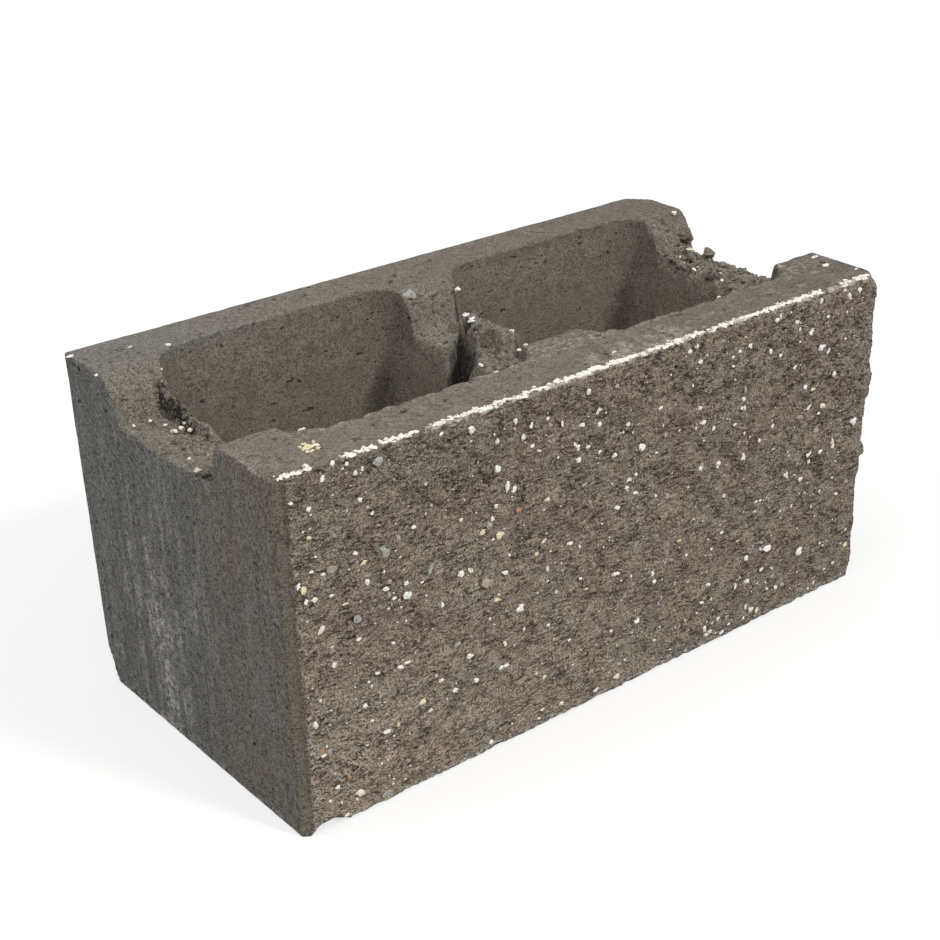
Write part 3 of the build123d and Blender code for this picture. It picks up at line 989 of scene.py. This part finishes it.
# Web chips. Chips of pale limestone and a few pebbles that broke loose. They lie in the dips and on the
# rims of the cores, and a cluster of yellow ones lies on the front shell near its left end.
# Each chip: its column and row in the picture, the height that it lies at, how many picture points it is
# across and deep, and its tone where it isn't white
web_chips_seen = [
    (409.5, 295, 190, 12, 11, grey), (458, 289, 188, 5, 4), (466.5, 315.5, 178, 7, 6),
    (472, 320.5, 178, 8, 7), (481, 365, 169.9, 4, 6), (512, 331, 178, 4, 4), (526, 345, 175, 4, 4),
    (519, 350, 175, 4, 4), (511, 364.5, 193, 6, 2, cream), (690, 249.5, 173, 6, 6, cream),
    (679, 247, 174, 5, 5, grey), (694, 270, 171, 4, 4), (731, 290.5, 193, 5, 3),
    (741, 286, 193, 4, 2, cream), (452, 384, 193, 6, 3), (470, 386, 193, 6, 2, cream),
    (302, 429, 193, 9, 2), (164, 383, 181, 5, 5), (160, 369, 189, 4, 4), (168, 345, 193.5, 5, 4),
    (130, 347, 193.5, 4, 2, cream), (309, 447, 193.7, 9, 6, yellow), (304, 449, 193.7, 6, 4, yellow),
    (316, 445, 193.7, 6, 4, cream), (186, 423, 171, 5, 4, cream), (181, 428, 171, 4, 4),
    (190, 430, 171, 5, 4, cream), (165, 425, 171, 4, 3, cream), (175, 431, 171, 4, 4, cream),
    (150, 421, 171, 4, 3, cream), (197, 470, 172, 5, 5, cream), (614, 352, 193.7, 5, 2, cream),
    (630, 356, 193.7, 6, 2, cream), (674, 213, 193, 5, 4), (856, 270, 193, 6, 3),
    (826, 265, 193.7, 6, 3), (815, 257, 193.7, 6, 3, cream), (304, 444, 193.7, 5, 3, yellow),
    (312, 451, 193.7, 5, 3, yellow), (300, 447, 193.7, 4, 3, yellow), (318, 448, 193.7, 4, 3, yellow),
    (307, 452, 193.7, 4, 3, cream), (313, 442, 193.7, 4, 3, yellow), (280, 432, 193, 6, 2, cream),
    (496, 372, 193.3, 5, 2, cream), (652, 314, 193.2, 5, 2, cream), (676, 309, 193.2, 4, 2, cream),
    (703, 300, 193.2, 5, 2, cream), (718, 296, 193.2, 5, 3), (780, 267, 193, 6, 6, tan),
    (97, 375, 192.5, 5, 3), (70, 356, 193.7, 7, 3)]


def seen_chips():
    """The pale chips and pebbles seen in the picture, each at its own level, then the pale strewn ones.
    Those on the front shell's inner edge are drawn back onto its crumbled round."""
    seen = [chip + (white,)[len(chip) - 5:] for chip in web_chips_seen]
    columns, rows, levels, across, deep, tones = np.array(seen).T
    places, reach = sight(columns, rows, 2, levels)
    lip = (levels > 190) & (np.abs(places[:, 1] - core_front) < 8)
    lip &= np.abs(places[:, 0]) < core_right - core_radius
    places[:, 1] = np.where(lip, np.minimum(places[:, 1], core_front - 1), places[:, 1])
    rim = rim_wear(places[:, 0], places[:, 1])
    over = np.clip(rim - (core_front - places[:, 1]), 0, rim)
    places[:, 2] -= lip * (rim - np.sqrt(rim ** 2 - over ** 2))
    wide = span(across, reach, level_axis)
    high = span(deep, reach, back_axis)
    thick = 0.6 * np.minimum(wide, high)
    places = np.concatenate([places, crumb_places[pale]])
    sizes = np.concatenate([np.stack([wide, high, thick], -1), 0.8 * crumb_sizes[pale]])
    leans = np.concatenate([0 * wide, crumb_leans[pale]])
    tones = np.concatenate([tones, np.full(pale.sum(), cream)])
    return stone_mesh("web_chips", places, sizes, leans, back_axis, tones, 11)


web_chips = seen_chips()
web_chips.data.materials.append(pale_aggregate)
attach(web_chips, "root")

# The floor and the light. A pale floor under a white surround, one soft lamp from the front right and
# above, and an even sky that fills the shaded end.
floor_reach = 6.0
floor_mesh = bpy.data.meshes.new("floor")
floor_mesh.from_pydata([(-floor_reach, -floor_reach, 0), (floor_reach, -floor_reach, 0),
                        (floor_reach, floor_reach, 0), (-floor_reach, floor_reach, 0)], [], [(0, 1, 2, 3)])
floor = bpy.data.objects.new("floor", floor_mesh)
bpy.context.scene.collection.objects.link(floor)


def white_floor():
    """A floor that reflects most of the light, and that the camera sees as white with shadows."""
    material, shader, start = new_finish("pale_floor", 1.0, 0.0)
    shader.inputs["Base Color"].default_value = (0.45, 0.45, 0.45, 1)
    seen = start.node("ShaderNodeLightPath", {}, {}, "Is Camera Ray")
    glow = start.node("ShaderNodeEmission", {}, {"Color": (1, 1, 1, 1), "Strength": 1.15})
    plain = start.node("ShaderNodeBsdfDiffuse", {}, {"Color": (0.9, 0.9, 0.9, 1)})
    lit = start.node("ShaderNodeMixShader", {}, {0: 0.45, 1: glow, 2: plain})
    bounced = Wire(start.tree, shader.outputs[0])
    out = start.node("ShaderNodeMixShader", {}, {0: seen, 1: bounced, 2: lit})
    start.tree.links.new(out.socket, start.tree.nodes["Material Output"].inputs["Surface"])
    return material


floor.data.materials.append(white_floor())

key_direction = (0.30, -0.72, 0.62)
key_strength = 1.7
key_softness = 10.0
ceiling_direction = (-0.42, -0.06, 0.90)
ceiling_strength = 1.45
ceiling_softness = 70.0
sky_strength = 0.32


def sun(name, direction, strength, softness, colour):
    """A lamp at no distance whose light comes from a direction, spread over an angle in degrees."""
    light = bpy.data.lights.new(name, "SUN")
    light.energy = strength
    light.angle = math.radians(softness)
    light.color = colour
    lamp = bpy.data.objects.new(name, light)
    lamp.rotation_mode = "QUATERNION"
    lamp.rotation_quaternion = Vector(direction).to_track_quat("Z", "Y")
    bpy.context.scene.collection.objects.link(lamp)


sun("soft_key", key_direction, key_strength, key_softness, (1.0, 0.97, 0.93))
sun("ceiling", ceiling_direction, ceiling_strength, ceiling_softness, (1.0, 0.98, 0.96))
world = bpy.data.worlds.new("white_surround")
world.use_nodes = True
bpy.context.scene.world = world
sky = Wire(world.node_tree)
background = world.node_tree.nodes["Background"]
path = {name: sky.node("ShaderNodeLightPath", {}, {}, name)
        for name in ("Is Camera Ray", "Is Glossy Ray", "Is Transmission Ray")}
direct = path["Is Camera Ray"].math("MAXIMUM", path["Is Camera Ray"], path["Is Glossy Ray"])
direct = direct.math("MAXIMUM", direct, path["Is Transmission Ray"])
strength = sky_strength + (1 - sky_strength) * direct
world.node_tree.links.new(strength.socket, background.inputs["Strength"])
background.inputs["Color"].default_value = (1.0, 1.0, 1.0, 1)

bpy.context.scene.view_settings.view_transform = "Standard"
